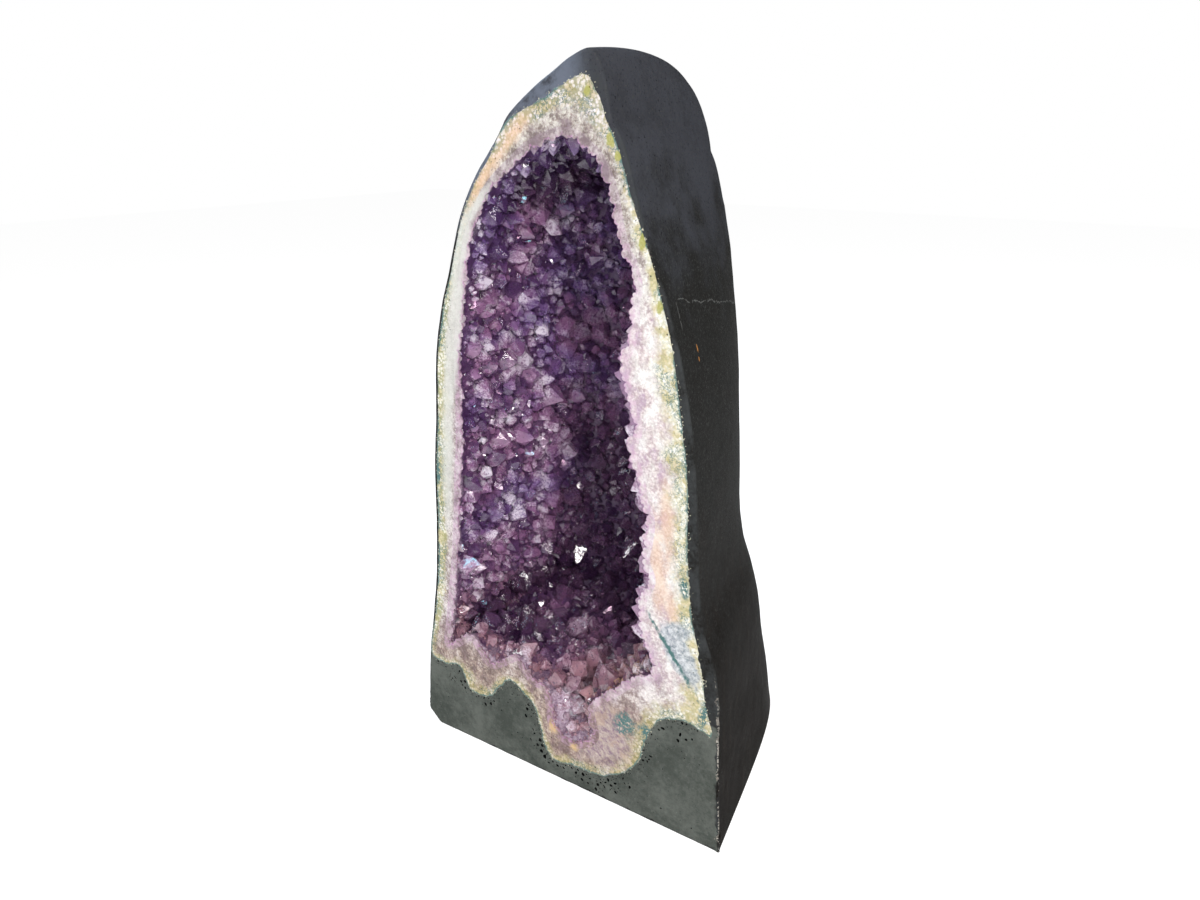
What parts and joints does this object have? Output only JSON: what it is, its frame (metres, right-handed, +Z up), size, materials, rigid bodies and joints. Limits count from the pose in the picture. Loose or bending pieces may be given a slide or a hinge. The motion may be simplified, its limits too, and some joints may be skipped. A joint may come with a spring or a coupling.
{
  "type": "amethyst geode",
  "caption": "Tall arched geode sawn open and stood on end, with a dark rock body, a pale agate rind and a hollow lined with purple crystal points.",
  "frame": {"origin": "on the ground, under the middle of the geode's box", "axes": "+Z up, +X to the right seen from the front, -Y out of the sawn face"},
  "size_m": [0.35, 0.28, 0.6625],
  "materials": {
    "basalt": "sawn and honed in front, dark and matt round the sides",
    "agate": "polished, banded and speckled",
    "amethyst": "natural crystal faces, glossy and clear to milky purple"
  },
  "bodies": {
    "root": {"basalt_body": "basalt", "agate_rind": "agate", "amethyst_crust": "amethyst"}
  },
  "joints": []
}
